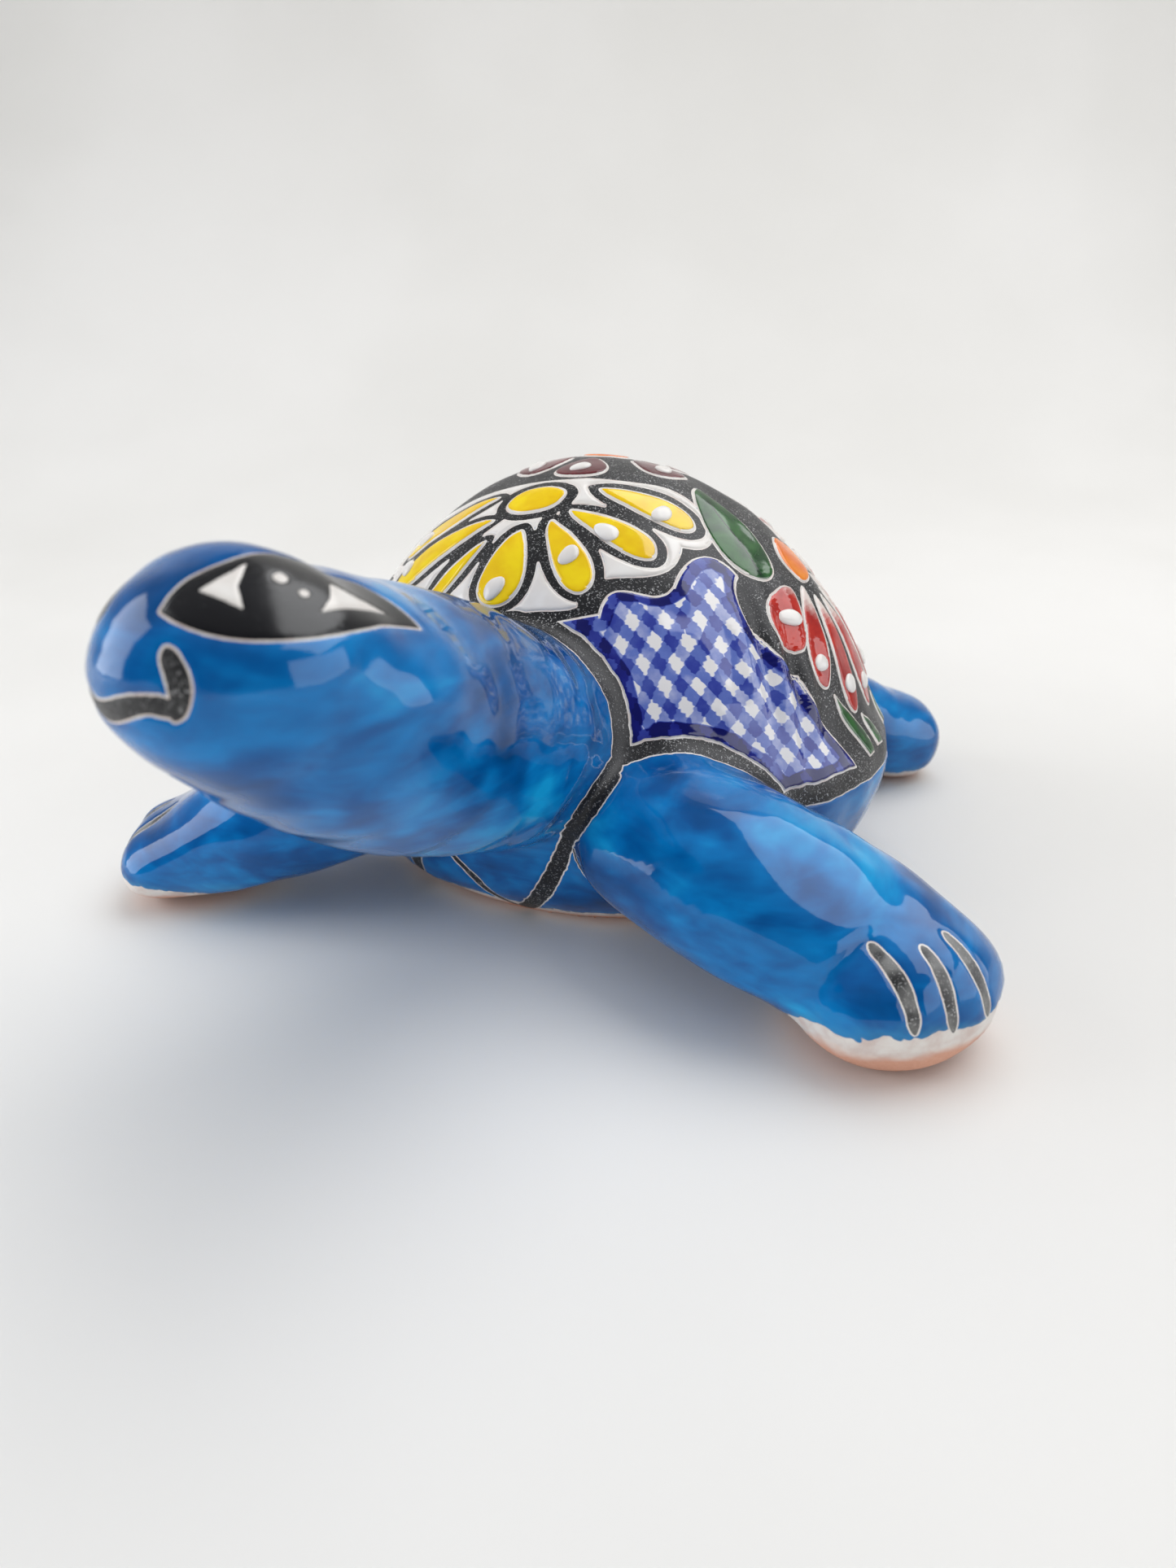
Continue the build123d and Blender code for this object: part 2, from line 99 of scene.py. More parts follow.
def edges_of(tris):
    """Unique edges, and for each triangle its three edge numbers."""
    pairs = np.stack([tris, np.roll(tris, -1, axis=1)], -1).reshape(-1, 2)
    span = int(tris.max()) + 1
    keys, back = np.unique(pairs.min(axis=1) * span + pairs.max(axis=1), return_inverse=True)
    return np.stack(np.divmod(keys, span), 1), back.reshape(-1, 3)


def blur(points, tris, rounds, weight, values=None):
    """Pulls values (by default the points themselves) towards the mean of their neighbours."""
    edges, _ = edges_of(tris)
    values = points.copy() if values is None else values.copy()
    count = np.bincount(edges.ravel(), minlength=len(points)).astype(float)
    weight = np.broadcast_to(weight, len(points))[:, None]
    for _ in range(rounds):
        total = np.zeros_like(values)
        for axis in range(values.shape[1]):
            total[:, axis] += np.bincount(edges[:, 0], values[edges[:, 1], axis], len(points))
            total[:, axis] += np.bincount(edges[:, 1], values[edges[:, 0], axis], len(points))
        values += weight * (total / count[:, None] - values)
    return values


def part_numbers(points, tris):
    """Number of the loose part that each point of a mesh belongs to."""
    owner = np.arange(len(points))
    edges, _ = edges_of(tris)
    while True:
        low = np.minimum(owner[edges[:, 0]], owner[edges[:, 1]])
        fresh = owner.copy()
        np.minimum.at(fresh, edges[:, 0], low)
        np.minimum.at(fresh, edges[:, 1], low)
        fresh = fresh[fresh]
        if (fresh == owner).all():
            return np.unique(owner, return_inverse=True)[1]
        owner = fresh


def biggest_part(points, tris):
    """Drops closed surfaces inside the skin, such as the walls of its hollows."""
    numbers = part_numbers(points, tris)
    keep = numbers == np.bincount(numbers).argmax()
    tris = tris[keep[tris].all(axis=1)]
    return points[keep], (np.cumsum(keep) - 1)[tris]


def tree_of(cloud):
    tree = KDTree(len(cloud))
    for index, point in enumerate(cloud):
        tree.insert(point, index)
    tree.balance()
    return tree


def within(points, cloud, reach):
    """Numbers of the points inside the box around a cloud, widened by a reach."""
    low, high = cloud.min(0) - reach, cloud.max(0) + reach
    return np.nonzero(((points > low) & (points < high)).all(axis=1))[0]


def distance_to(cloud, points, reach):
    """Distance from each point to the nearest of a cloud; far points get a large value."""
    tree = tree_of(cloud)
    out = np.full(len(points), 1e3)
    for index in within(points, cloud, reach):
        out[index] = tree.find(points[index])[2]
    return out


def waves(points, size, seed, octaves=3):
    """Smooth repeatable noise, about -1 to 1, from crossed sine waves."""
    random = np.random.default_rng(seed)
    total = np.zeros(len(points))
    for octave in range(octaves):
        for _ in range(4):
            direction = random.normal(size=3)
            direction /= np.linalg.norm(direction)
            phase = random.uniform(0, 2 * math.pi)
            stretch = 2 * math.pi / (size / 1.9 ** octave) * random.uniform(0.7, 1.3)
            total += np.sin(points @ direction * stretch + phase) / (4 * 1.7 ** octave)
    return total * 1.4


# ---------------------------------------------------------------- the clay skin

def joined(parts):
    points, tris, start = [], [], 0
    for part_points, part_tris in parts:
        points.append(part_points)
        tris.append(part_tris + start)
        start += len(part_points)
    return np.vstack(points), np.vstack(tris)


def plug():
    """Short rod that closes the kiln vent, so that the hull has one outer skin."""
    turns = np.linspace(0, 2 * math.pi, 24, endpoint=False)
    ring = np.stack([np.cos(turns), np.sin(turns)], 1) * 6.0 + np.array([0, VENT_Y])
    points = np.vstack([np.c_[ring, np.full(24, 0.0)], np.c_[ring, np.full(24, 9.0)],
                        [[0, VENT_Y, 0.0], [0, VENT_Y, 9.0]]])
    tris = []
    for i in range(24):
        j = (i + 1) % 24
        tris += [(i, j, j + 24), (i, j + 24, i + 24), (j, i, 48), (i + 24, j + 24, 49)]
    return points, np.array(tris)


def to_object(name, points, tris):
    mesh = bpy.data.meshes.new(name)
    mesh.from_pydata((points * MM).tolist(), [], tris.tolist())
    mesh.validate()
    piece = bpy.data.objects.new(name, mesh)
    bpy.context.scene.collection.objects.link(piece)
    return piece


def remeshed(points, tris):
    """One closed skin of even triangles around everything."""
    piece = to_object("skin_source", points, tris)
    modifier = piece.modifiers.new("voxels", "REMESH")
    modifier.mode, modifier.voxel_size = "VOXEL", VOXEL * MM
    graph = bpy.context.evaluated_depsgraph_get()
    mesh = bpy.data.meshes.new_from_object(piece.evaluated_get(graph))
    mesh.calc_loop_triangles()
    out = np.empty(len(mesh.vertices) * 3)
    mesh.vertices.foreach_get("co", out)
    faces = np.empty(len(mesh.loop_triangles) * 3, int)
    mesh.loop_triangles.foreach_get("vertices", faces)
    bpy.data.objects.remove(piece)
    bpy.data.meshes.remove(mesh)
    return biggest_part(out.reshape(-1, 3) / MM, faces.reshape(-1, 3))


def nearest_nodes(points, meshes):
    """Number of the clay piece nearest to each point."""
    whole, tris = joined(meshes)
    owner = np.concatenate([np.full(len(part[1]), n) for n, part in enumerate(meshes)])
    tree = BVHTree.FromPolygons(whole.tolist(), tris.tolist())
    return np.array([owner[tree.find_nearest(point)[2]] for point in points])


def seam_points(points, tris, label):
    """Pairs of labels to the smoothed mid-points of the skin edges between them."""
    edges, _ = edges_of(tris)
    a, b = label[edges[:, 0]], label[edges[:, 1]]
    mixed = a != b
    middle = points[edges[mixed]].mean(axis=1)
    low, high = np.minimum(a, b)[mixed], np.maximum(a, b)[mixed]
    seams = {}
    for pair in sorted(set(zip(low.tolist(), high.tolist()))):
        chosen = middle[(low == pair[0]) & (high == pair[1])]
        near = np.linalg.norm(chosen[:, None] - chosen[None], axis=2) < 3.5
        smooth = near @ chosen / near.sum(axis=1, keepdims=True)
        seams[(CLAY[pair[0]], CLAY[pair[1]])] = smooth
    return seams


# ---------------------------------------------------------------- distances to outlines

def sub_segments(starts, ends, step=0.4):
    """Cuts segments into short ones and returns their end points."""
    lengths = np.linalg.norm(ends - starts, axis=1)
    a, b = [], []
    for start, end, length in zip(starts, ends, lengths):
        count = max(1, int(math.ceil(length / step)))
        marks = np.linspace(0, 1, count + 1)[:, None]
        line = start * (1 - marks) + end * marks
        a.append(line[:-1])
        b.append(line[1:])
    return np.vstack(a), np.vstack(b)


def snapped(points, tree):
    return np.array([tree.find_nearest(point)[0] for point in points])


def line_distance(a, b, points, reach=REACH):
    """Distance from points to the nearest of short segments a-b; far points get the reach."""
    middle = (a + b) / 2
    tree = tree_of(middle)
    chosen = within(points, middle, reach)
    out = np.full(len(points), reach)
    if not len(chosen):
        return out
    found = np.array([[near[1] for near in tree.find_n(points[index], 3)] for index in chosen])
    start, along = a[found], (b - a)[found]
    gap = points[chosen][:, None] - start
    part = (gap * along).sum(axis=2) / np.maximum((along * along).sum(axis=2), 1e-9)
    gap -= np.clip(part, 0, 1)[:, :, None] * along
    out[chosen] = np.minimum(np.linalg.norm(gap, axis=2).min(axis=1), reach)
    return out


def rim_of(points, tris):
    """End points of the sharp edges round the upper and lower outline of a thin pad."""
    normals = unit(tri_normals(points, tris))
    edges, of_tri = edges_of(tris)
    order = np.argsort(of_tri.ravel(), kind="stable")
    owner, number = order // 3, of_tri.ravel()[order]
    twin = number[1:] == number[:-1]
    first, second = owner[:-1][twin], owner[1:][twin]
    sharp = (normals[first] * normals[second]).sum(axis=1) < 0.6
    chosen = edges[number[:-1][twin][sharp]]
    return points[chosen[:, 0]], points[chosen[:, 1]]


def pad_distance(node, points, normals, tree):
    """Distance to the outline of a CAD pad, measured on the skin: positive inside it."""
    pad_points, pad_tris = cad_mesh(node)
    a, b = sub_segments(*rim_of(pad_points, pad_tris))
    out = line_distance(snapped(a, tree), snapped(b, tree), points)
    pad = BVHTree.FromPolygons(pad_points.tolist(), pad_tris.tolist())
    inside = np.zeros(len(points), bool)
    for index in within(points, pad_points, PAD_MARGIN):
        start = points[index] + normals[index] * PAD_SEARCH
        inside[index] = pad.ray_cast(start, -normals[index], PAD_SEARCH * 2)[0] is not None
    return np.where(inside, out, -out)


# ---------------------------------------------------------------- rolled-out dome

def arc_rows():
    """Arc length from the apex, share of the rim's radius, and height, down the dome."""
    mean = (SHELL_HALF_WIDTH + SHELL_HALF_LENGTH) / 2
    angle = np.linspace(math.pi / 2, 0, 91)
    rise = np.sin(angle) ** (2 / DOME_POWER)
    share = (1 - RIM_FLARE) * np.cos(angle) ** (2 / DOME_POWER)
    share += RIM_FLARE * np.exp(-np.sin(angle) / FLARE_FADE)
    height = RIM_HEIGHT + (SHELL_HEIGHT - RIM_HEIGHT) * rise
    steps = np.hypot(np.diff(share) * mean, np.diff(height))
    return np.r_[0, np.cumsum(steps)], share, height


def rolled_out(points):
    """Arc coordinates on the dome: u towards the turtle's left, v towards the head."""
    arc, share, height = arc_rows()
    mean = (SHELL_HALF_WIDTH + SHELL_HALF_LENGTH) / 2
    own = np.hypot(points[:, 0] / SHELL_HALF_WIDTH, points[:, 1] / SHELL_HALF_LENGTH)
    gap = np.hypot((own[:, None] - share[None]) * mean, points[:, 2, None] - height[None])
    reach = arc[gap.argmin(axis=1)] / np.maximum(own, 1e-6)
    u = reach * points[:, 0] / SHELL_HALF_WIDTH
    v = -reach * points[:, 1] / SHELL_HALF_LENGTH
    return np.stack([u, v], axis=1)


# ---------------------------------------------------------------- shaping the skin

DENT_MIDDLE, DENT_AXIS = (64.0, 36.0), (0.62, 0.78)  # on the rolled-out dome
DENT_PITCH, DENT_LONG, DENT_WIDE, DENT_DEPTH = 11.0, 13.0, 18.0, 1.1


def dents(points, normals):
    """Hand-pressed waves in the wall of the shell over the front left panel."""
    u, v = (rolled_out(points) - np.array(DENT_MIDDLE)).T
    along = u * DENT_AXIS[0] - v * DENT_AXIS[1]
    across = u * DENT_AXIS[1] + v * DENT_AXIS[0]
    wave = np.cos(along / DENT_PITCH * 2 * math.pi + across * 0.05 + 0.4)
    fade = np.exp(-(along / DENT_LONG) ** 2 - (across / DENT_WIDE) ** 2)
    fade *= points[:, 2] > RIM_HEIGHT + 1
    return normals * (wave * fade * DENT_DEPTH)[:, None]


def shaped_skin():
    """Skin of the whole clay body, with soft joints and a slightly uneven hand-made surface."""
    meshes = [cad_mesh(node) for node in CLAY]
    points, tris = remeshed(*joined(meshes + [plug()]))
    label = nearest_nodes(points, meshes)
    seams = seam_points(points, tris, label)
    joints = np.vstack([cloud for pair, cloud in seams.items() if pair != ("carapace", "plastron")])
    near = np.clip(1 - distance_to(joints, points, FILLET_REACH) / FILLET_REACH, 0, 1)
    flat = points[:, 2] < 0.05
    start = points.copy()
    points = blur(points, tris, FILLET_ROUNDS, np.minimum(near * 1.4, 1) * 0.5)
    points = blur(points, tris, 8, 0.4)
    normals = point_normals(points, tris)
    uneven = waves(points, 34, 3) * 0.42 * np.clip(points[:, 2] / 6, 0, 1)
    points = points + normals * uneven[:, None] + dents(points, normals)
    points[flat, 2] = start[flat, 2]
    points[:, 2] = np.maximum(points[:, 2], 0)
    return points, tris, label, seams


# ---------------------------------------------------------------- refining

def refined(points, tris, label, split_edge):
    """Splits the flagged edges and the triangles beside them."""
    edges, of_tri = edges_of(tris)
    number = np.full(len(edges), -1)
    number[split_edge] = len(points) + np.arange(split_edge.sum())
    chosen = edges[split_edge]
    fresh = points[chosen].mean(axis=1)
    label = np.r_[label, label[chosen[:, 0]]]
    mid = number[of_tri]
    out = [tris[(mid < 0).all(axis=1)]]
    count = (mid >= 0).sum(axis=1)
    a, b, c = tris.T
    x, y, z = mid.T
    full = count == 3
    for corner in ((a, x, z), (x, b, y), (z, y, c), (x, y, z)):
        out.append(np.stack([part[full] for part in corner], 1))
    for turn in range(3):
        a, b, c = np.roll(tris, -turn, axis=1).T
        x, y, z = np.roll(mid, -turn, axis=1).T
        one = (count == 1) & (x >= 0)
        out += [np.stack([a[one], x[one], c[one]], 1), np.stack([x[one], b[one], c[one]], 1)]
        two = (count == 2) & (z < 0)
        out.append(np.stack([x[two], b[two], y[two]], 1))
        out.append(np.stack([a[two], x[two], y[two]], 1))
        out.append(np.stack([a[two], y[two], c[two]], 1))
    return np.vstack([points, fresh]), np.vstack(out), label


def close_edges(tris, gap, width):
    """Edges with both ends within a width of an outline."""
    edges, of_tri = edges_of(tris)
    near = (gap[tris] < width).any(axis=1)
    flag = np.zeros(len(edges), bool)
    flag[of_tri[near].ravel()] = True
    return flag


# ---------------------------------------------------------------- painted lines on the clay

CHEST_LINES = [  # start, end, half width
    ((26, -57, 41), (1, -49, 3), 1.9),
    ((22, -58, 28), (28, -46, 3), 0.75),
    ((-26, -57, 41), (-2, -49, 3), 0.7),
    ((-22, -58, 28), (-30, -46, 2), 1.8),
]


BELLY_LINE, NECK_LINE, RIM_LINE, SHOULDER_LINE = 2.3, 2.3, 1.9, 1.8  # half widths
SHOULDER_HEIGHT = 37.0  # the line beside the neck is painted only above this


def painted_lines(seams, tree):
    """Segments on the skin and half widths of the black lines between the clay pieces."""
    lines = []
    for pair, cloud in seams.items():
        if pair == ("carapace", "plastron"):
            lines.append((cloud, cloud, BELLY_LINE))
        elif pair[0] == "carapace":
            lines.append((cloud, cloud, NECK_LINE if pair[1] == "head_and_neck" else RIM_LINE))
        elif pair[0] == "head_and_neck":
            high = cloud[cloud[:, 2] > SHOULDER_HEIGHT]
            lines.append((high, high, SHOULDER_LINE))
    for start, end, half in CHEST_LINES:
        marks = np.linspace(0, 1, 90)[:, None]
        line = np.array(start) * (1 - marks) + np.array(end) * marks
        lines.append((line[:-1], line[1:], half))
    return [(snapped(a, tree), snapped(b, tree), half) for a, b, half in lines]


def line_field(points, lines):
    """Distance inside the painted lines, negative outside."""
    wobble = waves(points, 16, 11) * 0.28 + waves(points, 4, 12) * 0.1
    total = np.full(len(points), -REACH)
    for a, b, half in lines:
        total = np.maximum(total, half + wobble - line_distance(a, b, points, REACH + 3))
    return total


NECK_SIDE_HEIGHT, NECK_SIDE_SPREAD = 0.38, 20.0  # share of the head's top, and millimetres


def pale_field(points):
    """The blue was brushed on thinly along the side of the neck, in loose patches."""
    head = cad_mesh("head_and_neck")[0]
    low, high = head.min(axis=0), head.max(axis=0)
    along = np.clip((high[1] - points[:, 1]) / (high[1] - low[1]), 0, 1)
    middle = NECK_SIDE_HEIGHT * high[2] + 0.3 * high[2] * along
    band = np.exp(-((points[:, 2] - middle) / NECK_SIDE_SPREAD) ** 2)
    patches = np.clip(waves(points, 26, 31) * 0.7 + 0.6, 0, 1)
    return band * patches * np.sin(math.pi * along)


SOLE_EDGE, LEFT_PAW_RISE, RIGHT_PAW_RISE = 4.6, 8.8, 4.2
PAW_START, PAW_FADE = 64.0, 14.0  # sideways from the middle


def sole_field(points):
    """Height above the ragged edge at which the blue glaze stops over the sole."""
    edge = SOLE_EDGE + waves(points, 30, 21) * 1.3 + waves(points, 7, 22) * 0.6
    paws = np.clip((np.abs(points[:, 0]) - PAW_START) / PAW_FADE, 0, 1) * (points[:, 1] < 0)
    return points[:, 2] - edge - paws * np.where(points[:, 0] > 0, LEFT_PAW_RISE, RIGHT_PAW_RISE)


# ---------------------------------------------------------------- cutting out pieces

def clipped(data, tris, value):
    """The part of a mesh where value is positive, cut along its zero line."""
    tris = tris[(value[tris] > 0).any(axis=1)]
    inside = value > 0
    edges, of_tri = edges_of(tris)
    crossed = inside[edges[:, 0]] != inside[edges[:, 1]]
    one, two = edges[crossed].T
    part = np.clip(value[one] / (value[one] - value[two]), 0.04, 0.96)[:, None]
    number = np.full(len(edges), -1)
    number[crossed] = len(data) + np.arange(crossed.sum())
    data = np.vstack([data, data[one] * (1 - part) + data[two] * part])
    mid, count = number[of_tri], inside[tris].sum(axis=1)
    out = [tris[count == 3]]
    for turn in range(3):
        a, b, c = np.roll(tris, -turn, axis=1).T
        x, y, z = np.roll(mid, -turn, axis=1).T
        lone = (count == 1) & inside[a]
        out.append(np.stack([a[lone], x[lone], z[lone]], 1))
        pair = (count == 2) & ~inside[a]
        out.append(np.stack([x[pair], b[pair], c[pair]], 1))
        out.append(np.stack([x[pair], c[pair], z[pair]], 1))
    return compact(data, np.vstack(out))


def compact(data, tris):
    used, back = np.unique(tris, return_inverse=True)
    return data[used], back.reshape(-1, 3)


def closed(top, bottom, tris):
    """Solid between two sheets that share their triangles."""
    count = len(top)
    pairs = np.stack([tris, np.roll(tris, -1, axis=1)], -1).reshape(-1, 2)
    _, of_tri = edges_of(tris)
    border = np.bincount(of_tri.ravel())[of_tri.ravel()] == 1
    a, b = pairs[border].T
    walls = [np.stack([b, a, a + count], 1), np.stack([b, a + count, b + count], 1)]
    return np.vstack([top, bottom]), np.vstack([tris, tris[:, ::-1] + count] + walls)


def write_piece(name, points, tris, normals, values, material, nodes):
    """Puts a closed mesh in the scene, in place of the CAD nodes it shows."""
    mesh = bpy.data.meshes.new(name)
    mesh.vertices.add(len(points))
    mesh.vertices.foreach_set("co", (points * MM).astype(np.float32).ravel())
    mesh.loops.add(tris.size)
    mesh.loops.foreach_set("vertex_index", tris.ravel().astype(np.int32))
    mesh.polygons.add(len(tris))
    mesh.polygons.foreach_set("loop_start", np.arange(0, tris.size, 3, dtype=np.int32))
    mesh.update(calc_edges=True)
    mesh.polygons.foreach_set("use_smooth", np.ones(len(tris), bool))
    for key, column in values.items():
        layer = mesh.attributes.new(key, "FLOAT", "POINT")
        layer.data.foreach_set("value", column.astype(np.float32))
    mesh.normals_split_custom_set_from_vertices(normals.tolist())
    mesh.materials.append(material)
    piece = bpy.data.objects.new(name, mesh)
    bpy.context.scene.collection.objects.link(piece)
    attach(piece, "root")
    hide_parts(*nodes)


def clay_piece(node, data, tris, names, material):
    """A clay piece reaches from the skin inwards. Data columns: point, normal, values."""
    data, tris = compact(data, tris)
    points, normals, values = data[:, :3], unit(data[:, 3:6]), data[:, 6:]
    inner = points - normals * CLAY_WALL
    inner[:, 2] = np.maximum(inner[:, 2], np.minimum(points[:, 2], 0.0))
    solid, faces = closed(points, inner, tris)
    both = {name: np.r_[column, column] for name, column in zip(names, values.T)}
    write_piece(node + "_painted", solid, faces, np.vstack([normals, -normals]), both,
                material, [node])


def glaze_piece(node, data, tris, value, names, material, thickness):
    """A pillow of glaze over the part of the skin where value is positive."""
    data, tris = clipped(np.c_[data, value], tris, value)
    points, normals, depth = data[:, :3], unit(data[:, 3:6]), np.maximum(data[:, -1], 0)
    lift = 0.03 + thickness * (1 - np.exp(-depth / PILLOW))
    top = points + normals * lift[:, None]
    outward = point_normals(top, tris)
    solid, faces = closed(top, points - normals * 0.35, tris)
    values = {name: np.r_[column, column] for name, column in zip(names, data[:, 6:-1].T)}
    values["edge"] = np.r_[depth, depth]
    write_piece(node + "_glazed", solid, faces, np.vstack([outward, -normals]), values,
                material, [node])


# ---------------------------------------------------------------- materials

class Paint:
    """Short way to write a node material."""

    def __init__(self, name):
        self.material = bpy.data.materials.new(name)
        self.material.use_nodes = True
        self.tree = self.material.node_tree
        self.shader = self.tree.nodes["Principled BSDF"]
        self.place = self.node("ShaderNodeTexCoord").outputs["Object"]

    def node(self, kind, inputs=(), **settings):
        node = self.tree.nodes.new(kind)
        for key, value in settings.items():
            setattr(node, key, value)
        for key, value in dict(inputs).items():
            self.put(node.inputs[key], value)
        return node

    def put(self, socket, value):
        if isinstance(value, bpy.types.NodeSocket):
            self.tree.links.new(value, socket)
        elif isinstance(value, tuple) and len(value) == 3 and socket.type == "RGBA":
            socket.default_value = (*value, 1)
        else:
            socket.default_value = value

    def value(self, name):
        return self.node("ShaderNodeAttribute", attribute_name=name).outputs["Fac"]

    def math(self, operation, a, b=0.0, c=0.0):
        node = self.node("ShaderNodeMath", {0: a, 1: b, 2: c}, operation=operation)
        return node.outputs[0]

    def step(self, value, low, high):
        """0 below low and 1 above high, smooth between."""
        node = self.node("ShaderNodeMapRange", {"Value": value, "From Min": low, "From Max": high},
                         interpolation_type="SMOOTHSTEP")
        return node.outputs["Result"]

    def noise(self, size, detail=2.0, stretch=(1, 1, 1), warp=0.0, seed=0.0):
        """Noise about 0.5 with spots about size millimetres across."""
        place = self.node("ShaderNodeMapping", {"Vector": self.place, "Scale": stretch})
        node = self.node("ShaderNodeTexNoise", {
            "Vector": place.outputs[0], "Scale": 1 / (size * MM), "Detail": detail,
            "Distortion": warp, "W": seed}, noise_dimensions="4D")
        return node.outputs["Fac"]

    def mix(self, part, a, b):
        node = self.node("ShaderNodeMix", data_type="RGBA")
        for number, value in ((0, part), (6, a), (7, b)):
            self.put(node.inputs[number], value)
        return node.outputs[2]

    def blend(self, part, a, b):
        """Number between a and b."""
        node = self.node("ShaderNodeMix", data_type="FLOAT")
        for number, value in ((0, part), (2, a), (3, b)):
            self.put(node.inputs[number], value)
        return node.outputs[0]

    def ramp(self, value, *stops):
        node = self.node("ShaderNodeValToRGB", {"Fac": value})
        elements = node.color_ramp.elements
        while len(elements) < len(stops):
            elements.new(0.5)
        for element, (position, colour) in zip(elements, stops):
            element.position, element.color = position, (*colour, 1)
        return node.outputs["Color"]

    def finish(self, colour, roughness, height, relief, ior=1.5):
        """Height is in 0 to 1, and relief is what it stands for in millimetres."""
        self.put(self.shader.inputs["Base Color"], colour)
        self.put(self.shader.inputs["Roughness"], roughness)
        self.put(self.shader.inputs["IOR"], ior)
        bump = self.node("ShaderNodeBump", {"Height": height, "Distance": relief * MM})
        self.put(self.shader.inputs["Normal"], bump.outputs[0])
        return self.material


SLIP = (0.80, 0.765, 0.73)
INK = (0.012, 0.012, 0.014)


def ink_look(paint, sheen_share=0.0):
    """Colour and roughness of the matte oxide line. Its pale speckle is partly the fired grain and partly
    painted glints, brighter in broad patches of painted sheen; a share above zero adds broad grey spots of
    painted reflection.
    """
    # pale speckle: partly the oxide's own fired grain, partly painted glints
    grain_and_glints = paint.step(paint.noise(0.34, 1.0, seed=3), 0.56, 0.70)
    # broad patches that brighten the speckle: painted sheen
    patch = paint.step(paint.noise(9, 2.0, seed=4), 0.35, 0.72)
    colour = paint.mix(paint.math("MULTIPLY", grain_and_glints, paint.math("MULTIPLY_ADD", patch, 0.9, 0.3)),
                       INK, (0.42, 0.42, 0.425))
    # broad grey spots: painted reflection of the overhead light
    if sheen_share:
        sheen_spots = paint.step(paint.noise(5, 2.0, seed=14), 0.35, 0.65)
        colour = paint.mix(paint.math("MULTIPLY", sheen_spots, sheen_share), colour, (0.24, 0.24, 0.235))
    return colour, 0.40, grain_and_glints


def clay_paint():
    """Blue glaze, bare white slip, terracotta foot and black lines of the clay body."""
    paint = Paint("painted_clay")
    line, sole = paint.value("line"), paint.value("sole")
    ragged = paint.math("MULTIPLY_ADD", paint.noise(1.4, 2.0, seed=6), 0.26, -0.13)
    line = paint.math("ADD", line, ragged)
    cloud = paint.noise(30, 4.0, stretch=(0.9, 0.7, 1.3), warp=0.6, seed=1)
    streak = paint.noise(10, 3.0, stretch=(0.8, 0.6, 1.8), warp=0.6, seed=2)
    tone = paint.math("ADD", paint.math("MULTIPLY", cloud, 0.62), paint.math("MULTIPLY", streak, 0.38))
    tone = paint.math("MULTIPLY_ADD", paint.value("pale"), 0.17, tone)
    blue = paint.ramp(tone, (0.35, (0.0005, 0.042, 0.160)), (0.47, (0.001, 0.092, 0.320)),
                      (0.58, (0.002, 0.190, 0.530)), (0.71, (0.010, 0.39, 0.78)))
    thin = paint.step(sole, 2.6, 0.2)
    blue = paint.mix(paint.math("MULTIPLY", thin, 0.5), blue, (0.03, 0.26, 0.52))
    height = paint.math("MULTIPLY", paint.node("ShaderNodeSeparateXYZ", {0: paint.place}).outputs[2], 1000)
    low = paint.math("MULTIPLY_ADD", height, 0.45, sole)  # falls below zero low on the bare sole
    foot = paint.step(paint.math("ADD", low, paint.math("MULTIPLY", paint.noise(5, 3.0, seed=8), -4.0)),
                      -0.8, -6.2)
    speck = paint.noise(0.7, 3.0, seed=9)
    clay = paint.mix(speck, (0.62, 0.30, 0.20), (0.74, 0.42, 0.31))
    slip = paint.mix(paint.step(paint.noise(3, 3.0, seed=10), 0.35, 0.75), SLIP, (0.66, 0.55, 0.51))
    slip = paint.mix(foot, slip, clay)
    # the black lines' colour holds painted glints and sheen from ink_look
    ink, ink_rough, grain_and_glints = ink_look(paint)
    coat = paint.math("MULTIPLY", paint.step(line, -FRINGE + 0.06, -FRINGE - 0.06),
                      paint.step(sole, -0.08, 0.08))
    inked = paint.step(line, -0.05, 0.05)
    colour = paint.mix(coat, slip, blue)
    colour = paint.mix(inked, colour, ink)
    rough = paint.blend(coat, paint.blend(foot, 0.3, 0.75), 0.07)
    rough = paint.blend(inked, rough, ink_rough)
    pits = paint.math("MULTIPLY", grain_and_glints, inked)
    wave = paint.math("MULTIPLY", paint.noise(9, 1.0, seed=13), 0.25)
    clay_grain = paint.math("MULTIPLY", paint.math("MULTIPLY", speck, foot), 0.8)
    bump = paint.math("ADD", paint.math("ADD", pits, wave), clay_grain)
    return paint.finish(colour, rough, bump, relief=0.05, ior=1.4)


def fringe(paint, colour):
    """Lets the slip show where the glaze thins out at its border."""
    edge = paint.math("MULTIPLY_ADD", paint.noise(1.3, 2.0, seed=15), -0.22, paint.value("edge"))
    return paint.mix(paint.step(edge, 0.16, 0.02), colour, SLIP)


def plain_glaze(name, deep, pale, seed):
    """One glossy glaze that pools a little unevenly."""
    paint = Paint(name)
    tone = paint.step(paint.noise(8, 3.0, warp=0.3, seed=seed), 0.32, 0.68)
    rim = paint.step(paint.value("edge"), 1.3, 0.2)
    tone = paint.math("MULTIPLY", tone, paint.math("MULTIPLY_ADD", rim, -0.5, 1.0))
    colour = fringe(paint, paint.mix(tone, deep, pale))
    wave = paint.noise(5, 1.0, seed=seed + 2)
    return paint.finish(colour, 0.08, wave, relief=0.03)


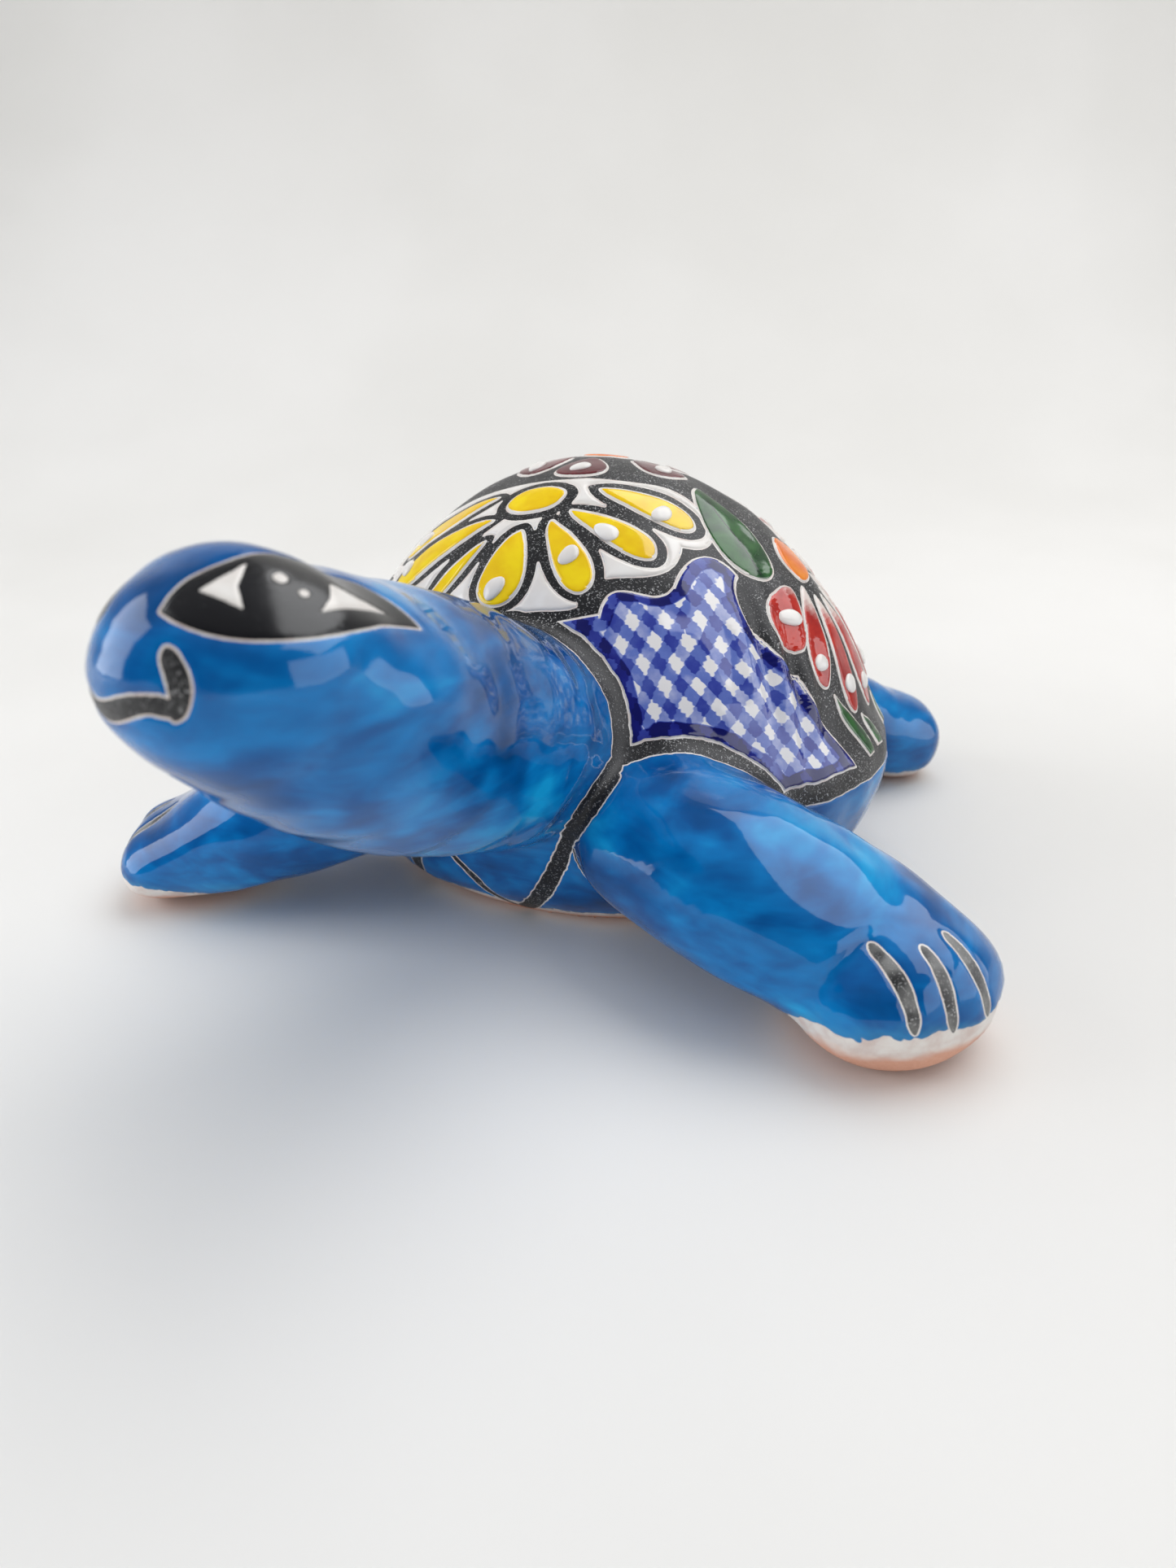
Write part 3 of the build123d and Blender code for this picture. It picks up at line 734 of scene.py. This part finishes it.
def petal_red():
    """Red petals that fade to white towards the heart of their flower."""
    paint = Paint("red_glaze")
    tone = paint.step(paint.noise(7, 3.0, warp=0.3, seed=5), 0.35, 0.7)
    red = paint.mix(tone, (0.36, 0.010, 0.008), (0.60, 0.035, 0.02))
    ragged = paint.math("MULTIPLY_ADD", paint.noise(2.4, 2.0, seed=7), 5.0, paint.value("heart"))
    colour = paint.mix(paint.step(ragged, 22.5, 16.0), red, (0.80, 0.70, 0.66))
    return paint.finish(fringe(paint, colour), 0.08, paint.noise(5, 1.0, seed=9), relief=0.05)


def leaf_green():
    paint = Paint("green_glaze")
    vein = paint.math("ABSOLUTE", paint.value("rib"))
    tone = paint.step(paint.noise(5, 3.0, warp=0.5, seed=3), 0.3, 0.7)
    green = paint.mix(tone, (0.008, 0.05, 0.014), (0.03, 0.13, 0.03))
    colour = paint.mix(paint.math("MULTIPLY", paint.step(vein, 0.5, 0.1), 0.8), green, (0.004, 0.012, 0.006))
    return paint.finish(fringe(paint, colour), 0.1, paint.noise(5, 1.0, seed=11), relief=0.05)


# Cobalt strokes on the rolled-out dome: one set runs down to the rim, the other arches over it.
DOWN_GAP, DOWN_SLANT = 7.0, 0.09
OVER_GAP, ARCH_TOP, ARCH_BEND = 6.2, 63.0, 0.005


def lattice_blue(seed):
    """Crossed translucent cobalt strokes that leave small white lozenges."""
    paint = Paint("cobalt_lattice_%d" % seed)
    u = paint.math("ABSOLUTE", paint.value("flow_u"))
    v = paint.math("ABSOLUTE", paint.value("flow_v"))
    drift = paint.math("MULTIPLY_ADD", paint.noise(22, 1.0, seed=seed), 3.6, -1.8)
    down = paint.math("ADD", u, paint.math("MULTIPLY", v, DOWN_SLANT))
    arch = paint.math("POWER", paint.math("ABSOLUTE", paint.math("SUBTRACT", u, ARCH_TOP)), 2.0)
    over = paint.math("MULTIPLY_ADD", arch, ARCH_BEND, v)
    strokes = []
    for across, gap, share, number in ((down, DOWN_GAP, 0.50, 0), (over, OVER_GAP, 0.50, 1)):
        across = paint.math("ADD", across, drift)
        row = paint.math("PINGPONG", paint.math("MULTIPLY", across, 1 / gap), 0.5)
        wander = paint.math("MULTIPLY_ADD", paint.noise(6, 2.0, seed=seed + 3 + number), 0.16, -0.08)
        row = paint.math("ADD", row, wander)
        load = paint.math("MULTIPLY_ADD", paint.noise(14, 2.0, seed=seed + 7 + number), 0.9, -0.05)
        cover = paint.step(row, share / 2 + 0.03, share / 2 - 0.03)
        strokes.append(paint.math("MULTIPLY", cover, load))
    frame_width = paint.math("MULTIPLY_ADD", paint.noise(9, 2.0, seed=seed + 11), 3.4, 1.0)
    border = paint.step(paint.math("SUBTRACT", paint.value("edge"), frame_width), 0.25, -0.25)
    pool = paint.step(paint.noise(24, 2.0, seed=seed + 13), 0.38, 0.66)
    border = paint.math("MULTIPLY", border, paint.math("MULTIPLY_ADD", pool, 0.8, 0.5))
    total = paint.math("ADD", paint.math("ADD", *strokes), border)
    streaks = paint.math("MULTIPLY_ADD", paint.noise(2.2, 3.0, seed=seed + 17), 0.22, -0.11)
    wet = paint.math("MULTIPLY", paint.step(total, 0.02, 0.12), streaks)
    total = paint.math("MULTIPLY_ADD", total, 0.72, wet)
    colour = paint.ramp(total, (0.0, (0.82, 0.80, 0.80)), (0.10, (0.60, 0.62, 0.80)),
                        (0.32, (0.125, 0.185, 0.53)), (0.62, (0.035, 0.055, 0.34)),
                        (0.85, (0.008, 0.012, 0.20)), (1.0, (0.004, 0.006, 0.11)))
    return paint.finish(fringe(paint, colour), 0.07, paint.noise(6, 1.0, seed=seed + 19), relief=0.06)


def eye_black():
    paint = Paint("eye_black")
    # grey speckle in broad patches: painted sheen and glints on the semi-gloss black, over its fine pits
    grain_and_glints = paint.step(paint.noise(0.35, 1.0, seed=2), 0.62, 0.78)
    patch = paint.step(paint.noise(6, 2.0, seed=4), 0.45, 0.7)
    colour = paint.mix(paint.math("MULTIPLY", grain_and_glints, paint.math("MULTIPLY", patch, 0.5)),
                       (0.006, 0.006, 0.008), (0.25, 0.25, 0.27))
    return paint.finish(colour, 0.22, grain_and_glints, relief=0.02)


def ink_paint(name, sheen_share=0.0):
    paint = Paint(name)
    colour, rough, grain_and_glints = ink_look(paint, sheen_share)
    return paint.finish(colour, rough, grain_and_glints, relief=0.05)


# ---------------------------------------------------------------- putting it together

YELLOW = plain_glaze("yellow_glaze", (0.82, 0.50, 0.002), (0.93, 0.69, 0.004), seed=21)
WHITE = plain_glaze("white_glaze", (0.76, 0.72, 0.69), (0.85, 0.83, 0.81), seed=22)
MAROON = plain_glaze("maroon_glaze", (0.075, 0.006, 0.011), (0.17, 0.014, 0.022), seed=23)
ORANGE = plain_glaze("orange_glaze", (0.80, 0.16, 0.006), (0.93, 0.30, 0.02), seed=24)
RED, GREEN, EYE_BLACK = petal_red(), leaf_green(), eye_black()
# the toe strokes' ink has broad grey spots of painted reflection
SMILE_INK, TOE_INK = ink_paint("black_line"), ink_paint("black_line_with_sheen", 0.8)

# Glazed piece: its node, material, slot, thickness.
PADS = [
    ("front_flower_petals", YELLOW, "yellow_glaze", GLAZE),
    ("front_flower_heart", YELLOW, "yellow_glaze", GLAZE),
    ("front_flower_ground", WHITE, "white_glaze", 0.3),
    ("rear_flower_petals", YELLOW, "yellow_glaze", GLAZE),
    ("rear_flower_heart", YELLOW, "yellow_glaze", GLAZE),
    ("rear_flower_ground", WHITE, "white_glaze", 0.3),
    ("crown_flower_petals", MAROON, "maroon_glaze", GLAZE),
    ("crown_flower_heart", ORANGE, "orange_glaze", GLAZE),
    ("left_flower_petals", RED, "red_glaze", GLAZE),
    ("left_flower_heart", ORANGE, "orange_glaze", GLAZE),
    ("right_flower_petals", RED, "red_glaze", GLAZE),
    ("right_flower_heart", ORANGE, "orange_glaze", GLAZE),
    ("green_leaves", GREEN, "green_glaze", GLAZE),
    ("front_left_lattice", lattice_blue(31), "cobalt_glaze", 0.45),
    ("front_right_lattice", lattice_blue(52), "cobalt_glaze", 0.45),
    ("rear_left_lattice", lattice_blue(73), "cobalt_glaze", 0.45),
    ("rear_right_lattice", lattice_blue(94), "cobalt_glaze", 0.45),
    ("left_eye_patch", EYE_BLACK, "eye_black_glaze", 0.12),
    ("right_eye_patch", EYE_BLACK, "eye_black_glaze", 0.12),
    ("left_eye_white", WHITE, "white_glaze", 0.22),
    ("right_eye_white", WHITE, "white_glaze", 0.22),
    ("smile_line", SMILE_INK, "black_line", 0.06),
    ("toe_lines", TOE_INK, "black_line", 0.06),
]
ON_LIMBS = ("left_eye_patch", "right_eye_patch", "left_eye_white", "right_eye_white",
            "smile_line", "toe_lines")
REFINE = (2.0, 0.75)
COAT_LIFT = 0.3
VALUES = ["line", "sole", "flow_u", "flow_v", "rib", "heart"]


def leaf_ribs(flat):
    """Signed distance on the rolled-out dome from the mid-line of the nearest leaf."""
    points, tris = cad_mesh("green_leaves")
    numbers, own = part_numbers(points, tris), rolled_out(points)
    best, out = np.full(len(flat), 1e3), np.zeros(len(flat))
    for number in range(numbers.max() + 1):
        leaf = own[numbers == number]
        centre = leaf.mean(axis=0)
        _, _, axes = np.linalg.svd(leaf - centre, full_matrices=False)
        gap = flat - centre
        along, side = gap @ axes[0], gap @ axes[1]
        long_half = np.abs((leaf - centre) @ axes[0]).max()
        far = np.hypot(along / long_half, side / 5)
        closer = far < best
        bend = side - 0.9 * np.cos(along / long_half * 1.6)
        rib = np.where(np.abs(along) < long_half * 0.72, bend, 9.0)
        out[closer], best[closer] = rib[closer], far[closer]
    return out


def heart_distance(flat, side):
    centre = rolled_out(cad_mesh(side + "_flower_heart")[0]).mean(axis=0)
    return np.hypot(*(flat - centre).T)


def dot_shape(centre, normal, seed):
    """Low round drop of glaze on the surface, a little out of round."""
    random = np.random.default_rng(seed)
    across = unit(np.cross(normal, random.normal(size=3))[None])[0]
    other = np.cross(normal, across)
    phase, stretch = random.uniform(0, 6.28), random.uniform(1.0, 1.35)
    size = random.uniform(2.0, 2.5)
    turns = np.linspace(0, 2 * math.pi, 28, endpoint=False)
    reach = size * (1 + 0.07 * np.sin(2 * turns + phase) + 0.05 * np.sin(3 * turns + 2 * phase))
    points, ups = [centre + normal * 1.0], []
    for ring in np.sin(np.linspace(0, math.pi / 2, 9))[1:]:
        up = 0.25 + 0.75 * math.sqrt(max(1 - ring * ring, 0))
        flat = reach * ring
        points += list(centre + np.outer(np.cos(turns) * flat * stretch, across)
                       + np.outer(np.sin(turns) * flat / stretch ** 0.4, other) + normal * up)
    last = len(points) - 28
    points += list(np.array(points[last:]) - normal * 0.7)
    points.append(centre - normal * 0.45)
    tris = []
    for i in range(28):
        j = (i + 1) % 28
        tris.append((0, 1 + i, 1 + j))
        for ring in range(8):
            a, b = 1 + ring * 28, 1 + (ring + 1) * 28
            tris += [(a + i, b + i, b + j), (a + i, b + j, a + j)]
        foot = 1 + 8 * 28
        tris.append((foot + j, foot + i, len(points) - 1))
    return np.array(points), np.array(tris)


def petal_dots(tree):
    points, tris = cad_mesh("petal_dots")
    numbers = part_numbers(points, tris)
    shapes = []
    for number in range(numbers.max() + 1):
        here, normal, _, _ = tree.find_nearest(points[numbers == number].mean(axis=0))
        here, normal = np.array(here), np.array(normal)
        shapes.append(dot_shape(here + normal * 0.28, normal, 400 + number))
    points, tris = joined(shapes)
    write_piece("petal_dots_glazed", points, tris, point_normals(points, tris),
                {"edge": np.full(len(points), 3.0)}, WHITE, ["petal_dots"])


def refined_skin(points, tris, label, normals, lines, outlines):
    for width in REFINE:
        gap = np.minimum(line_distance(*outlines, points, width + 1), np.abs(line_field(points, lines)))
        gap = np.minimum(gap, np.abs(sole_field(points)))
        both = np.c_[points, normals]
        both, tris, label = refined(both, tris, label, close_edges(tris, gap, width))
        points, normals = both[:, :3], unit(both[:, 3:])
    return points, tris, label, normals


def build_turtle():
    points, tris, label, seams = shaped_skin()
    tree = BVHTree.FromPolygons(points.tolist(), tris.tolist())
    lines = painted_lines(seams, tree)
    rims = [rim_of(*cad_mesh(pad[0])) for pad in PADS]
    ends = sub_segments(np.vstack([a for a, _ in rims]), np.vstack([b for _, b in rims]))
    outlines = snapped(ends[0], tree), snapped(ends[1], tree)
    normals = point_normals(points, tris)
    points, tris, label, normals = refined_skin(points, tris, label, normals, lines, outlines)

    depth = {pad[0]: pad_distance(pad[0], points, normals, tree) for pad in PADS}
    painted = line_field(points, lines)
    for node in depth:
        if node not in ON_LIMBS:
            depth[node] = np.where(label == 0, np.minimum(depth[node], -painted - FRINGE), -REACH)
    on_shell = np.max([depth[pad[0]] for pad in PADS if pad[0] not in ON_LIMBS], axis=0)
    on_limbs = np.max([depth[node] for node in ON_LIMBS], axis=0)
    shell = label == 0
    line = np.where(shell, -on_shell - FRINGE, np.maximum(painted, on_limbs))
    sole = sole_field(points)

    flat_normals = point_normals(points, tris)
    cover = np.where(shell, -1, np.minimum(-line - FRINGE, sole))
    lift = COAT_LIFT * (1 - np.exp(-np.maximum(cover, 0) / 0.5))
    raised = points + normals * lift[:, None]
    raised[:, 2] = np.maximum(raised[:, 2], 0)
    shading = unit(normals + point_normals(raised, tris) - flat_normals)

    flat = rolled_out(points)
    side = np.where(points[:, 0] > 0, heart_distance(flat, "left"), heart_distance(flat, "right"))
    values = np.c_[line, sole, flat, leaf_ribs(flat), side]
    names = ["line", "sole", "pale"]
    skin = np.c_[raised, shading, values[:, :2], pale_field(points)]
    owner = np.sort(label[tris], axis=1)[:, 1]
    material = clay_paint()
    for number, node in enumerate(CLAY):
        data, faces = skin, tris[owner == number]
        if node == "plastron":
            hole = np.hypot(points[:, 0], points[:, 1] - VENT_Y) - VENT_RADIUS
            data, faces = clipped(skin, faces, np.where(points[:, 2] < 2, hole, 9.0))
        slot = "black_line" if node == "carapace" else "turquoise_glaze"
        clay_piece(node, data, faces, names, material)

    for node, paint, slot, thickness in PADS:
        surface = raised if node in ON_LIMBS else points
        glaze_piece(node, np.c_[surface, normals, values], tris, depth[node], VALUES, paint, thickness)
    petal_dots(tree)


# ---------------------------------------------------------------- stage, light and camera

def soft_light(name, place, target, width, height, power, colour):
    light = bpy.data.lights.new(name, "AREA")
    light.shape, light.size, light.size_y = "RECTANGLE", width, height
    light.energy, light.color = power, colour
    lamp = bpy.data.objects.new(name, light)
    lamp.location = place
    lamp.rotation_euler = (Vector(target) - Vector(place)).to_track_quat("-Z", "Y").to_euler()
    bpy.context.scene.collection.objects.link(lamp)
    return lamp


FLOOR_FRONT, FLOOR_BACK, PAPER_BEND, PAPER_TOP, PAPER_HALF = -1.6, 0.35, 0.45, 2.2, 2.0  # metres
PAPER_STEPS, PAPER_TURN = 12, math.radians(24.1)


def sweep():
    """Pale paper sweep: floor that curves up into a wall behind the figure."""
    profile = [(FLOOR_FRONT, 0), (FLOOR_BACK, 0)]
    for step in range(1, PAPER_STEPS + 1):
        angle = math.pi / 2 * step / PAPER_STEPS
        profile.append((FLOOR_BACK + PAPER_BEND * math.sin(angle), PAPER_BEND * (1 - math.cos(angle))))
    profile.append((FLOOR_BACK + PAPER_BEND, PAPER_TOP))
    cosine, sine = math.cos(PAPER_TURN), math.sin(PAPER_TURN)
    points, faces = [], []
    for x in (-PAPER_HALF, PAPER_HALF):
        points += [(x * cosine - y * sine, x * sine + y * cosine, z) for y, z in profile]
    count = len(profile)
    for i in range(count - 1):
        faces.append((i, i + 1, count + i + 1, count + i))
    mesh = bpy.data.meshes.new("paper_sweep")
    mesh.from_pydata(points, [], faces)
    for polygon in mesh.polygons:
        polygon.use_smooth = True
    paint = Paint("paper")
    tone = paint.step(paint.noise(260, 3.0, seed=2), 0.3, 0.7)
    colour = paint.mix(tone, (0.73, 0.72, 0.70), (0.79, 0.78, 0.765))
    mesh.materials.append(paint.finish(colour, 0.85, paint.noise(60, 4.0, seed=3), relief=0.6))
    floor = bpy.data.objects.new("paper_sweep", mesh)
    bpy.context.scene.collection.objects.link(floor)


CAMERA_PLACE = (0.10476, -0.24383, 0.13217)
CAMERA_YAW, CAMERA_PITCH, CAMERA_ROLL = 24.11, 24.09, -1.16
SENSOR, LENS, FOCUS, F_STOP = 36, 24.07, 0.225, 13.0


def camera():
    """Close phone-camera view from the turtle's left front."""
    yaw, pitch, roll = (math.radians(angle) for angle in (CAMERA_YAW, CAMERA_PITCH, CAMERA_ROLL))
    back = Vector((math.sin(yaw) * math.cos(pitch), -math.cos(yaw) * math.cos(pitch), math.sin(pitch)))
    right = Vector((math.cos(yaw), math.sin(yaw), 0))
    up = back.cross(right)
    across = right * math.cos(roll) + up * math.sin(roll)
    upward = up * math.cos(roll) - right * math.sin(roll)
    lens = bpy.data.cameras.new("camera")
    lens.sensor_width, lens.lens, lens.clip_start = SENSOR, LENS, 0.01
    lens.dof.use_dof, lens.dof.focus_distance, lens.dof.aperture_fstop = True, FOCUS, F_STOP
    eye = bpy.data.objects.new("camera", lens)
    matrix = Matrix((across, upward, back)).transposed().to_4x4()
    matrix.translation = Vector(CAMERA_PLACE)
    eye.matrix_world = matrix
    bpy.context.scene.collection.objects.link(eye)
    bpy.context.scene.camera = eye


MIRRORED_ROOM = 0.4  # how bright the room looks in the glaze, as a share of how it lights things
ROOM_UP = (-0.2, 0.55, 0.81)  # towards the bright side of the room


def stage():
    sweep()
    world = bpy.data.worlds.new("soft_room")
    world.use_nodes = True
    tree = world.node_tree
    facing = tree.nodes.new("ShaderNodeVectorMath")
    facing.operation = "DOT_PRODUCT"
    facing.inputs[1].default_value = ROOM_UP
    tree.links.new(tree.nodes.new("ShaderNodeTexCoord").outputs["Generated"], facing.inputs[0])
    spread = tree.nodes.new("ShaderNodeMapRange")
    spread.interpolation_type = "SMOOTHSTEP"
    for key, value in (("From Min", -0.35), ("From Max", 0.85), ("To Min", 0.16), ("To Max", 0.85)):
        spread.inputs[key].default_value = value
    tree.links.new(facing.outputs["Value"], spread.inputs["Value"])
    dimmer = tree.nodes.new("ShaderNodeMath")
    dimmer.operation = "MULTIPLY_ADD"
    dimmer.inputs[1].default_value, dimmer.inputs[2].default_value = MIRRORED_ROOM - 1, 1
    tree.links.new(tree.nodes.new("ShaderNodeLightPath").outputs["Is Glossy Ray"], dimmer.inputs[0])
    strength = tree.nodes.new("ShaderNodeMath")
    strength.operation = "MULTIPLY"
    tree.links.new(spread.outputs["Result"], strength.inputs[0])
    tree.links.new(dimmer.outputs[0], strength.inputs[1])
    background = tree.nodes["Background"]
    background.inputs["Color"].default_value = (0.96, 0.98, 1.0, 1)
    tree.links.new(strength.outputs[0], background.inputs["Strength"])
    bpy.context.scene.world = world
    bpy.context.scene.view_settings.view_transform = "Standard"
    soft_light("window", (-0.85, -0.42, 0.36), (0, -0.1, 0.06), 0.56, 0.72, 4.4, (0.97, 0.985, 1.0))
    fill = soft_light("fill", (0.25, -0.95, 0.12), (0, -0.1, 0.05), 0.7, 0.5, 2.4, (1.0, 0.99, 0.97))
    fill.visible_glossy = False
    overhead = soft_light("overhead", (0.30, 0.40, 1.10), (0.03, -0.03, 0), 1.4, 1.0, 9.5, (1.0, 0.99, 0.97))
    overhead.visible_glossy = False
    for name, place, width, height, power in (
            ("mirrored_ceiling", (0.55, 0.36, 1.10), 2.1, 1.1, 23.0),
            ("mirrored_side", (0.95, -0.06, 0.20), 1.4, 0.60, 6.6)):
        mirrored = soft_light(name, place, (0.03, -0.05, 0.04), width, height, power, (0.98, 0.99, 1.0))
        mirrored.visible_diffuse = False
    camera()


build_turtle()
stage()
